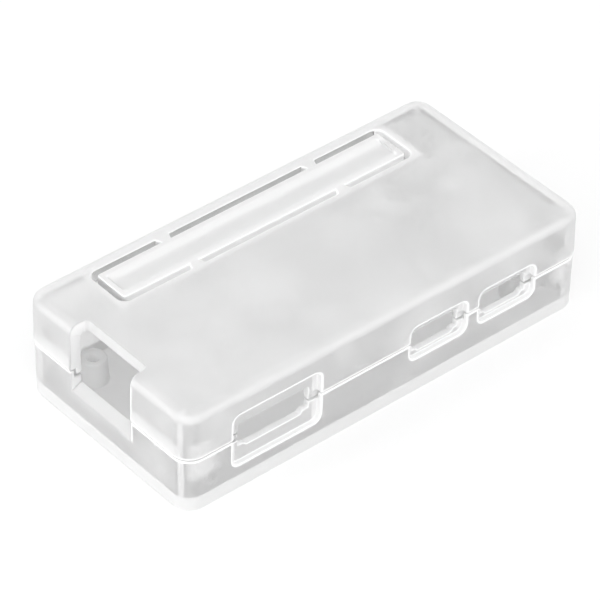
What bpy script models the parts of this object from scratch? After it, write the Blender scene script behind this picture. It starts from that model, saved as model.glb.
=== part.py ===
"""Clear two-piece case for a small single board computer.

Two thin mouldings close on each other with a lap joint. The base tray carries the
board on four screw posts. The top cover has a break-out panel over the pin header,
held by four webs. Plug openings, a memory card notch and a camera ribbon slot are
shared by both mouldings.

Sizes are in millimetres. +X runs along the case, -Y is the side with the plugs, the
memory card enters at -X, and the origin is the centre of the underside.
"""
import math
from itertools import product

import bmesh
import bpy
from mathutils import Vector

MM = 0.001

# The board that the case is made round, and where it lies
board_length = 65.0
board_width = 30.0
board_thickness = 1.4
board_underside = 5.4
hole_inset = 3.5
end_room = 1.5
side_room = 0.6

# Both mouldings
wall = 2.0
floor_thickness = 1.5
top_thickness = 2.0
case_height = 17.0
seam_height = 9.1
corner_radius = 2.9
least_radius = 0.3
top_edge_radius = 1.65
ceiling_edge_radius = 0.6
draft_angle = math.radians(0.8)
base_set_back = 0.12

# Lap joint: the cover's tongue stands inside the base's rim
lap_depth = 0.95
rim_thickness = 0.8
fit_gap = 0.3

# Screw posts under the board's four holes
post_radius = 2.0
post_foot_radius = 2.3
pilot_radius = 0.75
pilot_depth = 4.4
pilot_lead_in = 0.3

# Plug openings in the front wall: a wide recess for the plug's sleeve in the outer
# half of the wall, and a window for the socket's shell through the inner half
recess_depth = 0.95
recess_radius = 1.2
window_radius = 0.6
foot_slope = 0.5

video_from_left = 12.4
video_sleeve_width = 15.35
video_sleeve_below = 2.45
video_sleeve_above = 6.3
video_shell_width = 12.35
video_shell_below = 0.35
video_shell_above = 3.85
video_foot_width = 9.4

data_from_left = 41.4
power_from_left = 54.1
small_sleeve_width = 10.4
small_sleeve_below = 0.7
small_sleeve_above = 4.9
small_shell_width = 8.3
small_shell_below = 0.25
small_shell_above = 3.4
small_foot_width = 6.2

# Memory card notch in the left end
card_from_front = 15.9
card_notch_width = 13.1
card_notch_depth = 3.1
card_notch_radius = 0.9
card_sill_below = 0.2
card_ramp_drop = 1.0

# Camera ribbon slot in the right end
ribbon_from_front = 15.0
ribbon_slot_width = 19.0
ribbon_slot_below = 0.6
ribbon_slot_above = 3.7
ribbon_slot_radius = 0.8

# Break-out panel over the pin header
panel_from_left = 31.75
panel_from_back = 4.1
panel_length = 50.9
panel_width = 6.15
panel_radius = 0.5
panel_gap = 0.95
panel_rim = 0.9
panel_recess = 0.4
panel_slope = 0.9
web_spacing = 26.4
web_width = 1.6
web_root_width = 2.4
web_thickness = 1.2

# Smoothness of the round shapes
corner_steps = 10
edge_steps = 8
post_sides = 40
sharp_angle = math.radians(25)

# Looks of the plastic
base_grey = 0.93
base_roughness = 0.08
cover_grey = 0.95
cover_roughness = 0.25

# Sizes that follow from those above
case_length = board_length + 2 * (end_room + wall)
case_width = board_width + 2 * (side_room + wall)
board_left = -board_length / 2
board_front = -board_width / 2
board_top = board_underside + board_thickness
front = -case_width / 2
left = -case_length / 2
right = case_length / 2
rim_top = seam_height - fit_gap / 2
skirt_bottom = seam_height + fit_gap / 2
tongue_bottom = seam_height - lap_depth
shelf_height = tongue_bottom - fit_gap
ceiling = case_height - top_thickness
lean = math.tan(draft_angle)
beyond = 1.0


def arc(centre_x, centre_y, radius, start, sweep, steps):
    """Points along an arc, as (x, y) pairs."""
    angles = [start + sweep * i / steps for i in range(steps + 1)]
    return [(centre_x + radius * math.cos(a), centre_y + radius * math.sin(a)) for a in angles]


def rounded_rectangle(x0, y0, x1, y1, radius, steps=corner_steps):
    """A rectangle with round corners, counter-clockwise."""
    r = min(radius, (x1 - x0) / 2, (y1 - y0) / 2)
    corners = [(x1 - r, y0 + r), (x1 - r, y1 - r), (x0 + r, y1 - r), (x0 + r, y0 + r)]
    points = []
    for turn, (cx, cy) in enumerate(corners):
        points += arc(cx, cy, r, (turn - 1) * math.pi / 2, math.pi / 2, steps)
    return points


def circle(x, y, radius):
    return arc(x, y, radius, 0.0, math.tau * (post_sides - 1) / post_sides, post_sides - 1)


def new_object(name, bm):
    """Turn a bmesh in millimetres into an object in metres."""
    bmesh.ops.scale(bm, vec=Vector((MM, MM, MM)), verts=bm.verts)
    bmesh.ops.recalc_face_normals(bm, faces=bm.faces)
    mesh = bpy.data.meshes.new(name)
    bm.to_mesh(mesh)
    bm.free()
    obj = bpy.data.objects.new(name, mesh)
    bpy.context.collection.objects.link(obj)
    return obj


def loft(name, rings):
    """A closed solid through rings with the same number of points, capped at both ends."""
    bm = bmesh.new()
    loops = [[bm.verts.new(point) for point in ring] for ring in rings]
    count = len(loops[0])
    for lower, upper in zip(loops, loops[1:]):
        for i in range(count):
            j = (i + 1) % count
            bm.faces.new((lower[i], lower[j], upper[j], upper[i]))
    bm.faces.new(loops[0])
    bm.faces.new(loops[-1])
    return new_object(name, bm)


def upright(name, outline, z0, z1):
    """A prism standing on an (x, y) outline."""
    return loft(name, [[(x, y, z) for x, y in outline] for z in (z0, z1)])


def along_y(name, outline, y0, y1):
    """A prism along Y on an (x, z) outline."""
    return loft(name, [[(x, y, z) for x, z in outline] for y in (y0, y1)])


def along_x(name, outline, x0, x1):
    """A prism along X on a (y, z) outline."""
    return loft(name, [[(x, y, z) for y, z in outline] for x in (x0, x1)])


def combine(target, tool, operation):
    """Add a Boolean modifier, and turn its tool into a hidden guide."""
    modifier = target.modifiers.new(f"{operation.title()} {tool.name}", "BOOLEAN")
    modifier.operation = operation
    modifier.solver = "EXACT"
    modifier.object = tool
    tool.hide_render = True
    tool.display_type = "WIRE"


def cut(target, tool):
    combine(target, tool, "DIFFERENCE")


def shell_ring(inset, z):
    """The case's outline, drawn in from the nominal size, at one height."""
    x1 = case_length / 2 - inset
    y1 = case_width / 2 - inset
    radius = max(corner_radius - inset, least_radius)
    return [(x, y, z) for x, y in rounded_rectangle(-x1, -y1, x1, y1, radius)]


def base_tray_shell():
    """The open tray: floor, wall, and the thin rim that goes round the tongue."""
    return loft("base_tray", [
        shell_ring(base_set_back + rim_top * lean, 0.0),
        shell_ring(base_set_back, rim_top),
        shell_ring(rim_thickness, rim_top),
        shell_ring(rim_thickness, shelf_height),
        shell_ring(wall, shelf_height),
        shell_ring(wall + (shelf_height - floor_thickness) * lean, floor_thickness),
    ])


def top_cover_shell():
    """The cap: tongue, skirt, rounded top edge and the ceiling inside."""
    skirt_lean = (case_height - top_edge_radius - skirt_bottom) * lean
    top_edge = arc(skirt_lean + top_edge_radius, case_height - top_edge_radius,
                   top_edge_radius, math.pi, -math.pi / 2, edge_steps)
    cavity_lean = (ceiling - ceiling_edge_radius - tongue_bottom) * lean
    ceiling_edge = arc(wall + cavity_lean + ceiling_edge_radius, ceiling - ceiling_edge_radius,
                       ceiling_edge_radius, math.pi, -math.pi / 2, edge_steps)
    rings = [shell_ring(inset, z) for inset, z in reversed(top_edge)]
    rings += [
        shell_ring(0.0, skirt_bottom),
        shell_ring(rim_thickness + fit_gap, skirt_bottom),
        shell_ring(rim_thickness + fit_gap, tongue_bottom),
        shell_ring(wall, tongue_bottom),
    ]
    rings += [shell_ring(inset, z) for inset, z in ceiling_edge]
    return loft("top_cover", rings)


def window_outline(centre, width, foot_width, z0, z1):
    """A socket shell's window: full width above, stepped in to a narrower foot."""
    x0, x1 = centre - width / 2, centre + width / 2
    foot0, foot1 = centre - foot_width / 2, centre + foot_width / 2
    shoulder = z0 + foot_slope
    r = min(window_radius, (z1 - shoulder) / 2)
    outline = [(foot0, z0), (foot1, z0), (foot1 + foot_slope, shoulder), (x1, shoulder)]
    outline += arc(x1 - r, z1 - r, r, 0.0, math.pi / 2, edge_steps)
    outline += arc(x0 + r, z1 - r, r, math.pi / 2, math.pi / 2, edge_steps)
    outline += [(x0, shoulder), (foot0 - foot_slope, shoulder)]
    return outline


def plug_opening(name, from_left, sleeve, shell, foot_width):
    """Cutters for one plug: the sleeve's recess and the shell's window.

    sleeve and shell are (width, depth below the board's top, height above it).
    """
    centre = board_left + from_left
    width, below, above = sleeve
    recess = along_y(f"{name}_recess", rounded_rectangle(
        centre - width / 2, board_top - below, centre + width / 2, board_top + above,
        recess_radius), front - beyond, front + recess_depth)
    width, below, above = shell
    window = along_y(f"{name}_window", window_outline(
        centre, width, foot_width, board_top - below, board_top + above),
        front + recess_depth / 2, front + wall + beyond)
    return [recess, window]


def plug_openings():
    small_sleeve = (small_sleeve_width, small_sleeve_below, small_sleeve_above)
    small_shell = (small_shell_width, small_shell_below, small_shell_above)
    return (
        plug_opening("video", video_from_left,
                     (video_sleeve_width, video_sleeve_below, video_sleeve_above),
                     (video_shell_width, video_shell_below, video_shell_above),
                     video_foot_width)
        + plug_opening("data", data_from_left, small_sleeve, small_shell, small_foot_width)
        + plug_opening("power", power_from_left, small_sleeve, small_shell, small_foot_width)
    )


def card_notch_in_cover():
    """The notch goes through the end wall and back into the top."""
    centre = board_front + card_from_front
    outline = rounded_rectangle(left - 2 * beyond, centre - card_notch_width / 2,
                                left + card_notch_depth, centre + card_notch_width / 2,
                                card_notch_radius)
    return upright("cover_card_notch", outline, tongue_bottom - beyond, case_height + beyond)


def card_notch_in_base():
    """The same notch in the base, down to a sill that ramps outwards."""
    centre = board_front + card_from_front
    sill = board_top - card_sill_below
    slope = card_ramp_drop / wall
    x0, x1 = left - beyond, left + wall + beyond
    outline = [(x0, sill - (left + wall - x0) * slope), (left + wall, sill), (x1, sill),
               (x1, seam_height + beyond), (x0, seam_height + beyond)]
    return along_y("base_card_notch", outline,
                   centre - card_notch_width / 2, centre + card_notch_width / 2)


def ribbon_slot():
    """The slot for a camera ribbon, half in each moulding."""
    centre = board_front + ribbon_from_front
    outline = rounded_rectangle(centre - ribbon_slot_width / 2, board_top - ribbon_slot_below,
                                centre + ribbon_slot_width / 2, board_top + ribbon_slot_above,
                                ribbon_slot_radius)
    return along_x("ribbon_slot", outline, right - wall - beyond, right + beyond)


def panel_centre():
    return board_left + panel_from_left, board_front + board_width - panel_from_back


def panel_outline(grow, radius, narrowing=0.0):
    """The panel's outline, grown all round, and drawn in again along its long sides."""
    x, y = panel_centre()
    half_x, half_y = panel_length / 2 + grow, panel_width / 2 + grow - narrowing
    return rounded_rectangle(x - half_x, y - half_y, x + half_x, y + half_y, radius)


def web_outline(x, y, side):
    """One web, wider where it meets the top than at the panel, seen from above.

    It is drawn one gap longer than the gap at both ends, with its sides kept straight.
    """
    flare = (web_root_width - web_width) / 2
    tip, root = web_width / 2 - flare, web_root_width / 2 + flare
    tip_y = y + side * (panel_width / 2 - panel_gap)
    root_y = y + side * (panel_width / 2 + panel_gap + panel_gap)
    return [(x - tip, tip_y), (x + tip, tip_y), (x + root, root_y), (x - root, root_y)]


def header_slot():
    """The slot round the break-out panel, left uncut at the four webs."""
    x, y = panel_centre()
    z0, z1 = ceiling - beyond, case_height + beyond
    slot = upright("header_slot", panel_outline(panel_gap, panel_radius + panel_gap), z0, z1)
    cut(slot, upright("header_panel", panel_outline(0.0, panel_radius), z0 - beyond, z1 + beyond))
    for end, side in product((-1, 1), repeat=2):
        web = web_outline(x + end * web_spacing / 2, y, side)
        cut(slot, upright(f"web_{end}_{side}", web, case_height - web_thickness, z1 + beyond))
    return slot


def panel_tray():
    """The shallow tray in the panel's face. Its long sides slope down to its floor."""
    floor = panel_outline(-panel_rim, panel_radius, panel_slope)
    mouth = panel_outline(-panel_rim, panel_radius)
    return loft("panel_tray", [[(x, y, z) for x, y in outline] for outline, z in (
        (floor, case_height - panel_recess), (mouth, case_height), (mouth, case_height + beyond))])


def screw_post(name, x, y):
    """A tapered post, standing a little into the floor."""
    foot = floor_thickness / 2
    return loft(name, [[(px, py, z) for px, py in circle(x, y, radius)]
                       for radius, z in ((post_foot_radius, foot), (post_radius, board_underside))])


def pilot_hole(name, x, y):
    """A blind hole with a short conical mouth."""
    mouth = pilot_radius + pilot_lead_in
    profile = [(pilot_radius, board_underside - pilot_depth),
               (pilot_radius, board_underside - pilot_lead_in),
               (mouth, board_underside), (mouth, board_underside + beyond)]
    return loft(name, [[(px, py, z) for px, py in circle(x, y, radius)] for radius, z in profile])


def add_screw_posts(tray):
    places = [(end * (board_length / 2 - hole_inset), side * (board_width / 2 - hole_inset))
              for end, side in product((-1, 1), repeat=2)]
    for number, (x, y) in enumerate(places, 1):
        combine(tray, screw_post(f"post_{number}", x, y), "UNION")
    for number, (x, y) in enumerate(places, 1):
        cut(tray, pilot_hole(f"pilot_{number}", x, y))


def clear_plastic(name, grey, roughness):
    material = bpy.data.materials.new(name)
    material.use_nodes = True
    shader = material.node_tree.nodes["Principled BSDF"]
    shader.inputs["Base Color"].default_value = (grey, grey, grey, 1.0)
    shader.inputs["Roughness"].default_value = roughness
    shader.inputs["Metallic"].default_value = 0.0
    shader.inputs["Transmission Weight"].default_value = 1.0
    return material


def finish(obj, material):
    obj.data.materials.append(material)
    obj.data.shade_smooth()
    obj.data.set_sharp_from_angle(angle=sharp_angle)


def build():
    for obj in list(bpy.data.objects):
        bpy.data.objects.remove(obj, do_unlink=True)

    tray = base_tray_shell()
    cover = top_cover_shell()

    add_screw_posts(tray)
    for tool in plug_openings() + [ribbon_slot()]:
        cut(tray, tool)
        cut(cover, tool)
    cut(tray, card_notch_in_base())
    cut(cover, card_notch_in_cover())
    cut(cover, panel_tray())
    cut(cover, header_slot())

    finish(tray, clear_plastic("clear_base", base_grey, base_roughness))
    finish(cover, clear_plastic("satin_cover", cover_grey, cover_roughness))


build()
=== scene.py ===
# %% [markdown]
# A clear plastic case for a small single board computer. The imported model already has
# the right walls, openings and posts, so this script gives it what a moulding has and a
# plain solid lacks: soft edges that catch the light, clear plastic that bends what is
# seen through it, and milky places. The frame is loaded first, and its box is kept.

# %% Load the frame
import math

import bmesh
import bpy
from mathutils import Matrix, Vector


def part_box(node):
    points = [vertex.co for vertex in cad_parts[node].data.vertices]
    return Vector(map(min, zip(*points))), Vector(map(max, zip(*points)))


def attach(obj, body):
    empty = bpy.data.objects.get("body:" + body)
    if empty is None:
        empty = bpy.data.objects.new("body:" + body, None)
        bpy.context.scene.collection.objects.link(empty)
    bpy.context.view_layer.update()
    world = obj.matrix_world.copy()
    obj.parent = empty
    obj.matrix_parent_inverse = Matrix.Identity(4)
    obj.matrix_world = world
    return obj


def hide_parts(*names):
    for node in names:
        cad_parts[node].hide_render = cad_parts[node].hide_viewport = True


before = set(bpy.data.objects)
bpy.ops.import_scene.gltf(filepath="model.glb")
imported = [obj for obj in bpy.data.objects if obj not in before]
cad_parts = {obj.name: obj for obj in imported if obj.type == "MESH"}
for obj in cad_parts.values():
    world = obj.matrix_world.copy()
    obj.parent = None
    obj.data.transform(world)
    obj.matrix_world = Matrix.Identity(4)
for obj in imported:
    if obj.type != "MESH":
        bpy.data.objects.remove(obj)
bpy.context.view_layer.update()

scene = bpy.context.scene
print("nodes:", sorted(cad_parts))

# %% [markdown]
# The photograph was taken from a long way off with a long lens, from the front left and
# above. The camera comes first, because everything else is judged through it. It could
# be turned by eye until the picture looks right. Here its place, lens and aim come from
# points of the case whose real distances are known, which is quicker and closer.

# %% Camera
MM = 0.001
camera_spot = Vector((-284.08, -327.18, 366.43)) * MM
camera_forward = Vector((0.50367, 0.58292, -0.63759)).normalized()
camera_up = Vector((0.40284, 0.49441, 0.77025)).normalized()
camera_lens = 241.8
film_width = 36.0

camera = bpy.data.objects.new("camera", bpy.data.cameras.new("camera"))
scene.collection.objects.link(camera)
camera.data.sensor_width = film_width
camera.data.lens = camera_lens
across = camera_forward.cross(camera_up).normalized()
turn = Matrix((across, camera_up, -camera_forward)).transposed()
camera.matrix_world = Matrix.Translation(camera_spot) @ turn.to_4x4()
scene.camera = camera
print("camera at", [round(v, 3) for v in camera.location], "lens", camera_lens, "mm")

# %% [markdown]
# Nearly all the look of this case is in its materials, and they are sums of masks. Nodes
# could be added and linked by hand, one by one, but a sum is easier to read as an
# expression. Socket stands for one output of a node, and its operators add Math nodes,
# so that 1 - mask does what it says.

# %% Shader maths
class Socket:
    """One output of a node, with the operators that this script uses."""

    def __init__(self, graph, output):
        self.graph = graph
        self.output = output

    def maths(self, operation, *values):
        return self.graph.node("ShaderNodeMath", {"operation": operation},
                               dict(enumerate(values)))

    def __add__(self, other):
        return self.maths("ADD", self, other)

    def __sub__(self, other):
        return self.maths("SUBTRACT", self, other)

    def __rsub__(self, other):
        return self.maths("SUBTRACT", other, self)

    def __mul__(self, other):
        return self.maths("MULTIPLY", self, other)

    __radd__ = __add__
    __rmul__ = __mul__

    def size(self):
        """The value without its sign."""
        return self.maths("ABSOLUTE", self)

    def root(self):
        return self.maths("SQRT", self)

    def larger(self, other):
        return self.maths("MAXIMUM", self, other)

    def rise(self, start, end):
        """0 below start, 1 above end, and smooth between them."""
        return self.graph.node("ShaderNodeMapRange", {"interpolation_type": "SMOOTHSTEP"},
                               {"Value": self, "From Min": start, "From Max": end})

    def fall(self, start, end):
        """1 below start, 0 above end, and smooth between them."""
        return 1 - self.rise(start, end)

    def bump(self, middle, half, soft):
        """1 within half of middle, and falling to 0 over the length of soft."""
        return (self - middle).size().fall(half, half + soft)


# %% [markdown]
# Graph is one material. Every node comes from its one method, which sets the node's
# settings before it fills or links the sockets, because some settings change which
# sockets there are. Places are read in the object's own metres, so a milky patch stays
# on its wall when the cover lifts.

# %% Node graph
class Graph:
    """The nodes of one material."""

    def __init__(self, name):
        self.material = bpy.data.materials.new(name)
        self.material.use_nodes = True
        self.nodes = self.material.node_tree.nodes
        self.links = self.material.node_tree.links
        self.nodes.clear()

    def node(self, kind, settings=None, inputs=None, output=0):
        """Add a node: its settings first, then the values or links of its sockets."""
        made = self.nodes.new(kind)
        for name, value in (settings or {}).items():
            setattr(made, name, value)
        for name, value in (inputs or {}).items():
            if isinstance(value, Socket):
                self.links.new(value.output, made.inputs[name])
            else:
                made.inputs[name].default_value = value
        return Socket(self, made.outputs[output]) if made.outputs else None

    def place(self):
        """The x, y and z of the point, in the object's own metres."""
        point = self.node("ShaderNodeTexCoord", output="Object")
        return [self.node("ShaderNodeSeparateXYZ", inputs={0: point}, output=axis)
                for axis in "XYZ"]

    def clouds(self, size, low, full):
        """Soft clouds of about that size: 0 where the noise is below low, 1 above full."""
        point = self.node("ShaderNodeTexCoord", output="Object")
        noise = self.node("ShaderNodeTexNoise",
                          inputs={"Vector": point, "Scale": 1.0 / size, "Detail": 1.0})
        return noise.rise(low, full)

    def finish(self, shader):
        """Show this shader, and hand back the material."""
        self.node("ShaderNodeOutputMaterial", inputs={"Surface": shader})
        return self.material


print("helpers:", Socket.__name__, Graph.__name__)

# %% [markdown]
# The masks need to know where things are. These are the sizes of the two mouldings, as
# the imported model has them. They could be typed wherever a mask needs them, but written
# once they stay in step. The outline comes from the model's own box.

# %% Sizes of the mouldings
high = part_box("top_cover")[1]
half_length, half_width = high.x, high.y
seam_height = 9.1 * MM
top_edge_radius = 1.65 * MM
corner_radius = 2.9 * MM
floor_thickness = 1.5 * MM
wall = 2.0 * MM

panel_x, panel_y = -0.75 * MM, 10.9 * MM
panel_half_length, panel_half_width = 25.45 * MM, 3.075 * MM
panel_gap = 0.95 * MM
slot_half_length = panel_half_length + panel_gap
slot_half_width = panel_half_width + panel_gap

post_x, post_y, post_reach, post_top = 29.0 * MM, 11.5 * MM, 2.4 * MM, 6.0 * MM
notch_back, notch_y, notch_half = -half_length + 3.1 * MM, 0.9 * MM, 6.55 * MM
# The middle of each plug opening along the front, and half its length.
plug_openings = [(-20.1 * MM, 7.7 * MM), (8.9 * MM, 5.2 * MM), (21.6 * MM, 5.2 * MM)]
print("case", [round(v / MM, 1) for v in (2 * half_length, 2 * half_width, high.z)], "mm")

# %% [markdown]
# Clear plastic sends light through and bends it. A real moulding is never only clear:
# at thick and rounded places it is milky, because light that runs about inside the wall
# leaves there. Both could be one shader with a changing transmission, but what changes
# over a surface must feed a mix, so each finish mixes a clear shader with a milky one,
# and a mask says how much of each shows.

# %% Clear and milky plastic
plastic_ior = 1.5
finishes = {}


def plastic(name, pale, roughness, painted_shade=1.0, milk=0.97, milk_roughness=0.5, milk_clear=0.25):
    """Clear plastic with milky places.

    pale is the share of the milky shader. It is a number or a function of the graph, as
    roughness is too. milk is how white the milky shader is, and milk_clear is how much
    light it still lets through. The fourth argument, below 1, darkens the clear shader, and
    paints shade.
    """
    graph = Graph(name)
    share = pale(graph) if callable(pale) else pale
    rough = roughness(graph) if callable(roughness) else roughness
    clear = graph.node("ShaderNodeBsdfPrincipled", inputs={
        "Base Color": (painted_shade, painted_shade, painted_shade, 1.0), "Roughness": rough,
        "IOR": plastic_ior, "Transmission Weight": 1.0})
    milky = graph.node("ShaderNodeBsdfPrincipled", inputs={
        "Base Color": (milk, milk, milk, 1.0), "Roughness": milk_roughness,
        "IOR": plastic_ior, "Transmission Weight": milk_clear})
    return graph.finish(graph.node("ShaderNodeMixShader",
                                   inputs={0: share, 1: clear, 2: milky}))


print("bends light like clear plastic, with an index of", plastic_ior)

# %% [markdown]
# Each upright corner of both mouldings is a quarter of a cylinder, and works as a lens. On
# the real case the front left one is clear but for a pale line on its end side, the other
# three are pale columns, and a pale patch lies on the front wall beside both front corners.
# All of these are light that the corners bend into the camera, painted here as a share of
# the milky shader. Shapes inside the wall could bend the light so, but nobody can see them,
# and a mask on the corner's own angle, 0 degrees at its end face and 90 at its long face,
# puts the line where it belongs.

# %% Upright corners
# The line, the columns and the front patch are painted light, bent by the corners.
line_angle, line_half, line_soft = math.radians(26), math.radians(6), math.radians(9)
line_start = (-0.5 * MM, 0.4 * MM)
column_start = (-1.2 * MM, -0.5 * MM)
lens_light_start, lens_light_side = (-5.2 * MM, 0.0), (1.2 * MM, 2.8 * MM)
lens_light_foot, lens_light_head = 2.5 * MM, 1.5 * MM
line_pale, column_pale, lens_light_pale = 0.75, 0.675, 0.7


def corner_lens_light(graph, x, y, z, lens_light_low, lens_light_high):
    """The painted lens light near an upright corner, as a share of the milky shader."""
    along_x = x.size() - (half_length - corner_radius)
    along_y = y.size() - (half_width - corner_radius)
    angle = graph.node("ShaderNodeMath", {"operation": "ARCTAN2"}, {0: along_y, 1: along_x})
    on_front = y.fall(-MM, MM)
    front_left = x.fall(-MM, MM) * on_front
    line = (along_x.rise(*line_start) * along_y.rise(*line_start) * front_left
            * angle.bump(line_angle, line_half, line_soft))
    column = along_x.rise(*column_start) * along_y.rise(*column_start) * (1 - front_left)
    lens_light = (along_x.rise(*lens_light_start) * along_y.rise(*lens_light_side) * on_front
            * z.rise(lens_light_low, lens_light_low + lens_light_foot) * z.fall(lens_light_high - lens_light_head, lens_light_high))
    return (line * line_pale).larger(column * column_pale).larger(lens_light * lens_light_pale)


print("corner line at", round(math.degrees(line_angle)), "degrees from the end face")

# %% [markdown]
# The tray's floor is a slab, and its edge shows through the outer wall as one pale band
# all the way round. A band could be a piece of its own, but it is only the slab's light
# leaving through the wall, so it is a mask on the height. The wall above it is nearly
# clear, with faint clouds, and a little paler on the two ends.

# %% Tray skin
band_top = floor_thickness + 0.95 * MM
band_edge = (band_top - 0.2 * MM, band_top + 0.35 * MM)
end_face = (half_length - 0.5 * MM, half_length - 0.2 * MM)
tray_light_low, tray_light_high = 4.2 * MM, seam_height + MM
band_pale, tray_least, tray_clouds, tray_ends = 0.95, 0.14, 0.2, 0.14
smooth = 0.28


def on_ends(x):
    """1 on the outer faces of the two end walls."""
    return x.size().rise(*end_face)


def tray_pale(graph):
    """The pale band of the floor, and the nearly clear wall above it."""
    x, y, z = graph.place()
    band = z.fall(*band_edge) * band_pale
    clouds = graph.clouds(size=9 * MM, low=0.45, full=0.75) * tray_clouds
    walls = clouds + on_ends(x) * tray_ends + tray_least
    # The corners' painted lens light.
    lens_light = corner_lens_light(graph, x, y, z, tray_light_low, tray_light_high)
    return walls.larger(band).larger(lens_light)


finishes["tray_skin"] = plastic("clear_tray_skin", tray_pale, smooth)
print("tray skin: band up to", round(band_top / MM, 2), "mm")

# %% [markdown]
# The cover's top has a fine satin grain on a thick plate. It is pale along its far rim
# and round the slot of the panel, and its rounded edge glows as one soft pale band. The
# walls under it are clearer, with cloudy patches, and pale low on the two ends. One
# painted picture could hold all this, but it would fit no other size. So each of these
# places has a mask, and the largest one wins.

# %% Top of the cover
fillet_start = high.z - top_edge_radius
plate_start = (high.z - 0.9 * MM, high.z - 0.3 * MM)
clearer_part = (-5 * MM, 25 * MM)
far_rim_start, far_rim_height = (-3.0 * MM, -2.2 * MM), (high.z - 1.2 * MM, high.z - 0.6 * MM)
slot_glow_reach = (0.3 * MM, 2.2 * MM)
plate_least, plate_clouds, right_clearer = 0.47, 0.16, 0.12
far_rim_pale, slot_glow_pale = 0.9, 0.85


def plate_pale(graph, x, y, z):
    """The top: cloudy, clearer towards its right end, pale at its far rim and its slot."""
    on_plate = z.rise(*plate_start)
    clouds = plate_least + graph.clouds(size=12 * MM, low=0.3, full=0.7) * plate_clouds
    plate = on_plate * (clouds - x.rise(*clearer_part) * right_clearer)
    far_rim = ((x - half_length).larger(y - half_width).rise(*far_rim_start)
               * z.rise(*far_rim_height))
    past_slot = ((x - panel_x).size() - slot_half_length).larger(
        (y - panel_y).size() - slot_half_width)
    slot_glow = past_slot.fall(*slot_glow_reach) * on_plate
    return plate.larger(far_rim * far_rim_pale).larger(slot_glow * slot_glow_pale)


print("plate clears towards the right by", right_clearer)

# %% [markdown]
# The rounded edge could be a finish of its own, but its glow has no border. So it is one
# more mask, on the way round the edge, and the walls of the cover join it here.

# %% Cover skin
band_middle, band_half, band_end = (v * top_edge_radius for v in (0.3, 0.1, 1.25))
edge_pale = 0.8
cover_light_low, cover_light_high = seam_height - 2 * MM, 13.0 * MM
end_haze_top = (10.5 * MM, 13.5 * MM)
cover_least, cover_clouds, cover_ends, end_haze_pale = 0.28, 0.3, 0.15, 0.85
satin_start, satin_more = (fillet_start - 0.1 * MM, fillet_start + 0.6 * MM), 0.15


def edge_band(x, y, z):
    """1 just below the middle of the rounded top edge, and falling away to both sides."""
    out_x = (x.size() - (half_length - corner_radius)).larger(0.0)
    out_y = (y.size() - (half_width - corner_radius)).larger(0.0)
    out = (out_x * out_x + out_y * out_y).root()
    turned = high.z - corner_radius - z + out - band_middle
    return turned.size().fall(band_half, band_end)


def cover_pale(graph):
    """The plate and its rounded edge, and cloudy walls with pale ends."""
    x, y, z = graph.place()
    clouds = graph.clouds(size=7 * MM, low=0.4, full=0.75) * cover_clouds
    walls = clouds + on_ends(x) * cover_ends + cover_least
    # The corners' painted lens light.
    lens_light = corner_lens_light(graph, x, y, z, cover_light_low, cover_light_high)
    end_haze = on_ends(x) * z.fall(*end_haze_top)
    return (walls.larger(plate_pale(graph, x, y, z)).larger(edge_band(x, y, z) * edge_pale)
            .larger(lens_light).larger(end_haze * end_haze_pale))


def cover_rough(graph):
    """Satin from the start of the rounded edge upwards, smoother on the walls."""
    z = graph.place()[2]
    return smooth + satin_more * z.rise(*satin_start)


finishes["cover_skin"] = plastic("satin_cover_skin", cover_pale, cover_rough,
                                 milk_roughness=0.6)
print("cover skin: top edge starts at", round(fillet_start / MM, 2), "mm")

# %% [markdown]
# The break-out panel over the pin header is a shallow tray in the cover's top. Light
# gathers along its back slope, and its floor is clearer, most of all just before that.
# In the gap round it the back is shaded, the left is half clear, and the rest is pale
# with one thin dark line. Lines could be cut into the gap, but they are light and no
# shape, so each side of the gap has a finish of its own.

# %% Break-out panel and the gap round it
panel_rim_height = (high.z - 0.1 * MM, high.z - 0.02 * MM)
panel_back = (panel_half_width - 2.5 * MM, panel_half_width - 1.4 * MM)
panel_front = (-panel_half_width, 0.5 * panel_half_width)
panel_least, front_paler, back_paler, rim_paler = 0.52, 0.15, 0.3, 0.1
dark_line, dark_half, dark_soft = high.z - 0.5 * MM, 0.03 * MM, 0.08 * MM
line_darker = 0.5


def panel_pale(graph):
    """The panel's face: pale along its back and its rim, clearer in its recess."""
    _, y, z = graph.place()
    front, back = (y - panel_y).fall(*panel_front), (y - panel_y).rise(*panel_back)
    rim = z.rise(*panel_rim_height)
    return panel_least + front_paler * front + back_paler * back + rim_paler * rim


def light_gap_pale(graph):
    """Pale, with one thin dark line half a millimetre down."""
    z = graph.place()[2]
    return 1 - line_darker * z.bump(dark_line, dark_half, dark_soft)


finishes["panel"] = plastic("satin_panel", panel_pale, roughness=0.3, milk_clear=0.1)
# Painted shade: the back of the gap has its clear shader darkened to half.
finishes["gap_back"] = plastic("shaded_gap", pale=0.1, roughness=0.1, painted_shade=0.5)
finishes["gap_left"] = plastic("clear_gap", pale=0.7, roughness=smooth)
finishes["gap_light"] = plastic("pale_gap", light_gap_pale, roughness=0.3, milk_clear=0.0)
print("gap", round(panel_gap / MM, 2), "mm wide round the panel")

# %% [markdown]
# The small faces have finishes of their own. The mould leaves the inside satin. The thick
# screw posts are clear, but they gather light and look bright, and that light is painted as
# plain white. Ledges that face up catch the light of the room and look pale, and so do the
# sides of an opening. Upright steps are half clear, but a painted highlight lies on them
# behind the gap of the joint and where an opening cuts them. A rounded edge is so narrow
# that it is all highlight, so it is close to plain white, and softer at the memory card
# notch. One finish with a mask for each place could serve them all, but short finishes are
# easier to change.

# %% Inside, steps, sides, ledges, edges and posts
joint_gap_half, joint_gap_soft = 0.17 * MM, 0.05 * MM
wall_reach, wall_end = 3 * MM, 4 * MM
notch_cut, plug_cut, cut_soft = 0.5 * MM, 0.8 * MM, 0.4 * MM
behind_gap_pale, step_least = 0.95, 0.4


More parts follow.
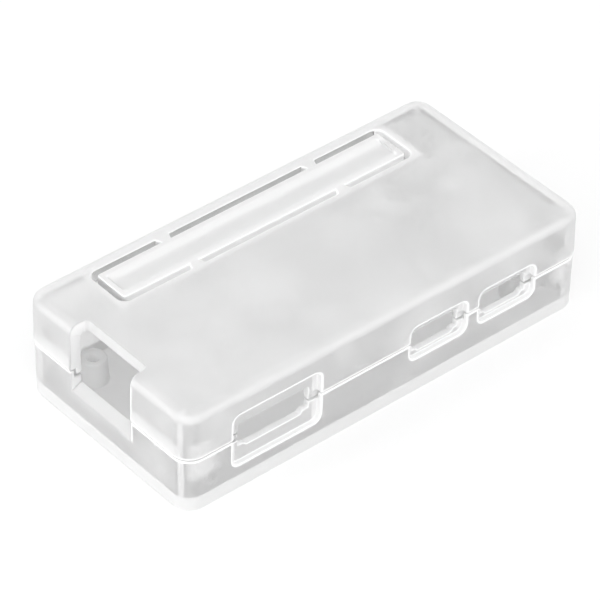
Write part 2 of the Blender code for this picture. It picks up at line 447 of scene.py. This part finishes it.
def step_pale(graph):
    """Half clear, with a painted highlight behind the gap of the joint and where an opening
    cuts it.
    """
    x, y, z = graph.place()
    # Painted highlights: a white line behind the joint's gap, and along the cut ends of
    # openings.
    behind_gap = behind_gap_pale * z.bump(seam_height, joint_gap_half, joint_gap_soft)
    in_left_wall = x.fall(-half_length + wall_reach, -half_length + wall_end)
    in_front_wall = y.fall(-half_width + wall_reach, -half_width + wall_end)
    cut_ends = (y - notch_y).size().bump(notch_half, notch_cut, cut_soft) * in_left_wall
    for middle, half in plug_openings:
        by_plug = (x - middle).size().bump(half, plug_cut, cut_soft) * in_front_wall
        cut_ends = cut_ends.larger(by_plug)
    return behind_gap.larger(cut_ends).larger(step_least)


finishes["inside"] = plastic("satin_inside", pale=0.12, roughness=0.3)
finishes["step"] = plastic("clear_step", step_pale, roughness=smooth)
finishes["jamb"] = plastic("pale_jamb", pale=0.95, roughness=smooth, milk_clear=0.0)
finishes["ledge"] = plastic("pale_ledge", pale=0.8, roughness=smooth, milk=0.9, milk_clear=0.1)
finishes["edge"] = plastic("white_edge", pale=1.0, roughness=0.2, milk_roughness=0.3,
                           milk_clear=0.0)
finishes["soft_edge"] = plastic("pale_edge", pale=0.6, roughness=smooth, milk=0.93)
# Painted light: the clear posts gather light and look bright, so they are plain white here.
finishes["post"] = plastic("painted_bright_post", pale=1.0, roughness=0.1, milk=1.0,
                           milk_roughness=0.3, milk_clear=0.0)
slots = list(finishes)
print(len(slots), "finishes")

# %% [markdown]
# A moulding is one piece of plastic, and its finishes meet along its edges: the skin
# outside, the satin inside, the steps and ledges of the joint, and the sides of the
# openings. Faces could be picked by number, but numbers change whenever the model is
# packed again, and places don't. So every face gets its finish from where it lies and
# which way it faces.

# %% Where a face lies
near = 0.1 * MM
skin_depth = 0.6 * MM
# How much of a face's normal has to point one way, for the face to look that way.
barely, partly, roughly, squarely, nearly, exactly = 0.1, 0.3, 0.5, 0.9, 0.95, 0.99


def past_corner(x, y):
    """How far a place lies past the start of a rounded corner, in length and in width."""
    return abs(x) - (half_length - corner_radius), abs(y) - (half_width - corner_radius)


def depth_in(x, y):
    """How far a place lies inside the case's rounded outline."""
    past_x, past_y = past_corner(x, y)
    if past_x > 0 and past_y > 0:
        return corner_radius - math.hypot(past_x, past_y)
    return corner_radius - max(past_x, past_y)


def way_out(x, y):
    """The level direction straight out of the case's rounded outline."""
    past_x, past_y = past_corner(x, y)
    if past_x > 0 and past_y > 0:
        return Vector((math.copysign(past_x, x), math.copysign(past_y, y), 0.0)).normalized()
    if past_x > past_y:
        return Vector((math.copysign(1.0, x), 0.0, 0.0))
    return Vector((0.0, math.copysign(1.0, y), 0.0))


def at_notch(place):
    """Whether a place is on the border of the memory card notch."""
    return place.x < notch_back + near and abs(place.y - notch_y) < notch_half + 4 * near


def in_plug_opening(place):
    """Whether a place is on the border of a plug opening."""
    return place.y < -half_width + wall + near and any(
        abs(place.x - middle) < half + near for middle, half in plug_openings)


print("outline corner radius", round(corner_radius / MM, 1), "mm")

# %% [markdown]
# On the real case a face is skin, inside or part of an opening by where it is. Each of
# these could be fenced off exactly, but the questions stay short when they are asked in
# the right order. The slot of the break-out panel comes first, because its faces would
# also pass for the cover's top or inside. Then come the posts, the sides of the notch,
# the inside and the skin, and what is left are the steps, the ledges and the sides of
# the other openings.

# %% Which finish a face has
def slot_finish(centre, normal):
    """The finish of a face of the panel or its slot, or None."""
    x, y = centre.x - panel_x, centre.y - panel_y
    in_slot = abs(x) <= slot_half_length + near and abs(y) <= slot_half_width + near
    if not in_slot or centre.z < high.z - wall + 0.5 * near:
        return None
    on_panel = abs(x) < panel_half_length + near and abs(y) < panel_half_width + near
    if on_panel and normal.z > roughly:
        return "panel"
    if abs(normal.z) < roughly and centre.z < high.z - 5 * near:
        if y > panel_half_width - 5 * near and abs(normal.y) > squarely:
            return "gap_back"
        return "gap_left" if x < -panel_half_length + 5 * near else "gap_light"
    return None


def is_skin(centre, normal, depth):
    """Whether a face is on the outside of its moulding."""
    outward = normal.dot(way_out(centre.x, centre.y)) > partly
    faces_up = normal.z > 0 and (outward or normal.z > squarely)
    rim_or_plate = depth < top_edge_radius + near or centre.z > high.z - near
    on_top = centre.z > fillet_start - near and faces_up and rim_or_plate
    on_wall = depth < skin_depth and outward and abs(normal.z) < exactly
    return on_top or on_wall


def finish_of(face):
    """Which finish a face of the moulding has."""
    centre, normal = face.calc_center_median(), face.normal
    depth, z = depth_in(centre.x, centre.y), centre.z
    in_slot = slot_finish(centre, normal)
    if in_slot:
        return in_slot
    from_post = math.hypot(abs(centre.x) - post_x, abs(centre.y) - post_y)
    if from_post < post_reach and floor_thickness + 0.1 * near < z < post_top:
        return "edge" if barely < abs(normal.z) < nearly else "post"
    if at_notch(centre) and abs(normal.y) > squarely and depth > skin_depth:
        return "jamb"
    within = depth > wall - near and floor_thickness - near < z < high.z - wall + near
    if within or z < near and normal.z < -exactly:
        return "inside"
    if is_skin(centre, normal, depth):
        return "tray_skin" if z < seam_height else "cover_skin"
    in_end = abs(centre.x) > half_length - wall - near
    in_side = abs(centre.y) > half_width - wall - near
    faces_out = in_end and abs(normal.x) > roughly or in_side and abs(normal.y) > roughly
    if faces_out and normal.z < roughly:
        return "step"
    faces_along = in_end and abs(normal.y) > roughly or in_side and abs(normal.x) > roughly
    return "jamb" if faces_along or in_plug_opening(centre) else "ledge"


def edge_finish(face):
    """White for most edges, softer round the memory card notch except at its front side."""
    centre = face.calc_center_median()
    past_front = centre.y > notch_y - notch_half + 4 * near
    off_seam = abs(centre.z - seam_height) > 4 * near
    return "soft_edge" if at_notch(centre) and past_front and off_seam else "edge"


def beside_opening(face):
    """Whether a strip along the border of a wall lies beside an opening."""
    z = face.calc_center_median().z
    off_seam = abs(z - seam_height) > 3 * near
    return off_seam and band_top + 4 * near < z < fillet_start - 4 * near


print("skin is", round(skin_depth / MM, 1), "mm deep")

# %% [markdown]
# A mould has no knife edges, and those small roundings are what draws the outline of
# every opening in bright lines. A Bevel modifier could round them, but then the strips
# couldn't have a finish of their own. So the bevel operator works on a merged copy of
# each packed shell, and hands back the new faces. On the flat of a wall the outline of
# an opening is a little wider than the rounding, so an inset of the walls adds a narrow
# strip there. Faces that lie in one plane are joined first. The tray's are joined up to
# 2 degrees, because a sliver in its end wall would break the strips, and the cover's
# only up to 0.3, because more turned its top white.

# %% Soft edged shells
edge_round = 0.15 * MM
outline_width = 0.22 * MM
merge_distance = 0.03 * MM
sharp_angle = math.radians(25)
shading_angle = math.radians(35)


def worth_rounding(edge):
    """Whether an edge is sharp, and both faces beside it are wide enough for a rounding."""
    return edge.is_manifold and edge.calc_face_angle() > sharp_angle and all(
        face.calc_area() / edge.calc_length() > 2 * edge_round for face in edge.link_faces)


def give(faces, choose):
    """Give each face the finish that choose names for it."""
    for face in faces:
        face.material_index = slots.index(choose(face))


def upright(bm, *names):
    """The upright faces that have one of these finishes."""
    chosen = [slots.index(name) for name in names]
    return [f for f in bm.faces if f.material_index in chosen and abs(f.normal.z) < barely]


def shows(face):
    """Whether a rounded edge is in a wall or on the top, and not deep inside."""
    x, y, z = face.calc_center_median()
    return depth_in(x, y) < wall + near or z > high.z - 2 * near


def soft_copy(node, name, body, flat_degrees):
    """A copy of a packed shell, its flat faces joined and its edges rounded."""
    bm = bmesh.new()
    bm.from_mesh(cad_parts[node].data)
    bmesh.ops.remove_doubles(bm, verts=bm.verts, dist=merge_distance)
    bmesh.ops.dissolve_limit(bm, angle_limit=math.radians(flat_degrees),
                             verts=bm.verts, edges=bm.edges)
    sharp = [edge for edge in bm.edges if worth_rounding(edge)]
    rounded = bmesh.ops.bevel(bm, geom=sharp, offset=edge_round, offset_type="OFFSET",
                              affect="EDGES", segments=2, profile=0.5, material=-1,
                              clamp_overlap=False)["faces"]
    give(bm.faces, finish_of)
    give([face for face in rounded if shows(face)], edge_finish)
    for walls in (upright(bm, "tray_skin", "cover_skin"), upright(bm, "inside")):
        strips = bmesh.ops.inset_region(bm, faces=walls, thickness=outline_width,
                                        use_even_offset=True, use_boundary=True)["faces"]
        give([face for face in strips if beside_opening(face)], edge_finish)
    bmesh.ops.triangulate(bm, faces=bm.faces)
    mesh = bpy.data.meshes.new(name)
    bm.to_mesh(mesh)
    bm.free()
    mesh.shade_smooth()
    mesh.set_sharp_from_angle(angle=shading_angle)
    for material in finishes.values():
        mesh.materials.append(material)
    piece = bpy.data.objects.new(name, mesh)
    scene.collection.objects.link(piece)
    flats = piece.modifiers.new("level_flats", "WEIGHTED_NORMAL")
    flats.keep_sharp = True
    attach(piece, body)
    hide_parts(node)
    print(name, len(sharp), "edges rounded,", len(mesh.polygons), "triangles")


soft_copy("base_tray", "clear_tray", "base", 2.0)
soft_copy("top_cover", "clear_cover", "cover", 0.3)

# %% [markdown]
# The case stands on white paper. Straight into the camera and through the plastic the
# paper must look the same. It could be lit until it is white, but then the case would
# be too bright. So a share of it glows only for such rays, and what is left is paint,
# which keeps the soft shadow of the case.

# %% Floor
floor_half = 3.0
floor_drop = 0.02 * MM
floor_glow_share = 0.5
white, paper_white = (1.0, 1.0, 1.0, 1.0), (0.96, 0.96, 0.96, 1.0)

bm = bmesh.new()
bmesh.ops.create_grid(bm, x_segments=1, y_segments=1, size=floor_half)
bmesh.ops.translate(bm, verts=bm.verts, vec=(0.0, 0.0, -floor_drop))
mesh = bpy.data.meshes.new("floor")
bm.to_mesh(mesh)
bm.free()
floor = bpy.data.objects.new("floor", mesh)
scene.collection.objects.link(floor)

graph = Graph("white_floor")
paper = graph.node("ShaderNodeBsdfDiffuse", inputs={"Color": paper_white})
glow = graph.node("ShaderNodeEmission", inputs={"Color": white, "Strength": 1.0})
rays = [graph.node("ShaderNodeLightPath", output=ray)
        for ray in ("Is Camera Ray", "Is Glossy Ray", "Is Transmission Ray")]
seen = graph.node("ShaderNodeClamp", inputs={"Value": sum(rays[1:], rays[0])})
mesh.materials.append(graph.finish(graph.node(
    "ShaderNodeMixShader", inputs={0: seen * floor_glow_share, 1: paper, 2: glow})))
print("floor", 2 * floor_half, "m wide")

# %% [markdown]
# A white room lights the case from all sides, as a light tent does in a studio. It could
# do so alone, but then no edge would sparkle. So three weak soft boxes give the rounded
# edges their highlights: one large key, and two low ones where an edge between the top
# and a side would mirror them into the camera.

# %% Light
room_strength = 0.92
lamp_distance = 0.8

world = bpy.data.worlds.new("studio")
scene.world = world
world.use_nodes = True
room = world.node_tree.nodes["Background"].inputs
room["Color"].default_value = white
room["Strength"].default_value = room_strength
scene.view_settings.view_transform = "Standard"


def softbox(name, azimuth, elevation, size, power):
    """A square lamp that faces the case from this azimuth and height, in degrees."""
    lamp = bpy.data.lights.new(name, "AREA")
    lamp.shape = "SQUARE"
    lamp.size = size
    lamp.energy = power
    obj = bpy.data.objects.new(name, lamp)
    scene.collection.objects.link(obj)
    a, e = math.radians(azimuth), math.radians(elevation)
    back = Vector((math.sin(a) * math.cos(e), -math.cos(a) * math.cos(e), math.sin(e)))
    obj.location = back * lamp_distance
    obj.rotation_mode = "QUATERNION"
    obj.rotation_quaternion = back.to_track_quat("Z", "Y")
    print(name, power, "W from", azimuth, elevation)


softbox("key", azimuth=-40, elevation=50, size=0.5, power=1.0)
softbox("end_fill", azimuth=-95, elevation=28, size=0.3, power=1.3)
softbox("front_rim", azimuth=38, elevation=35, size=0.22, power=0.4)

# %% [markdown]
# Light bounces many times between the faces of clear plastic before it leaves. A see
# through mix could let it pass with no bend at all, but the case would look like thin
# film. With the usual few bounces real bending turns the walls black, so more are
# allowed.

# %% Bounces
bounce_limit = 64
for kind in ("max_bounces", "transmission_bounces", "glossy_bounces", "diffuse_bounces"):
    setattr(scene.cycles, kind, bounce_limit)
print("bounces", scene.cycles.max_bounces)
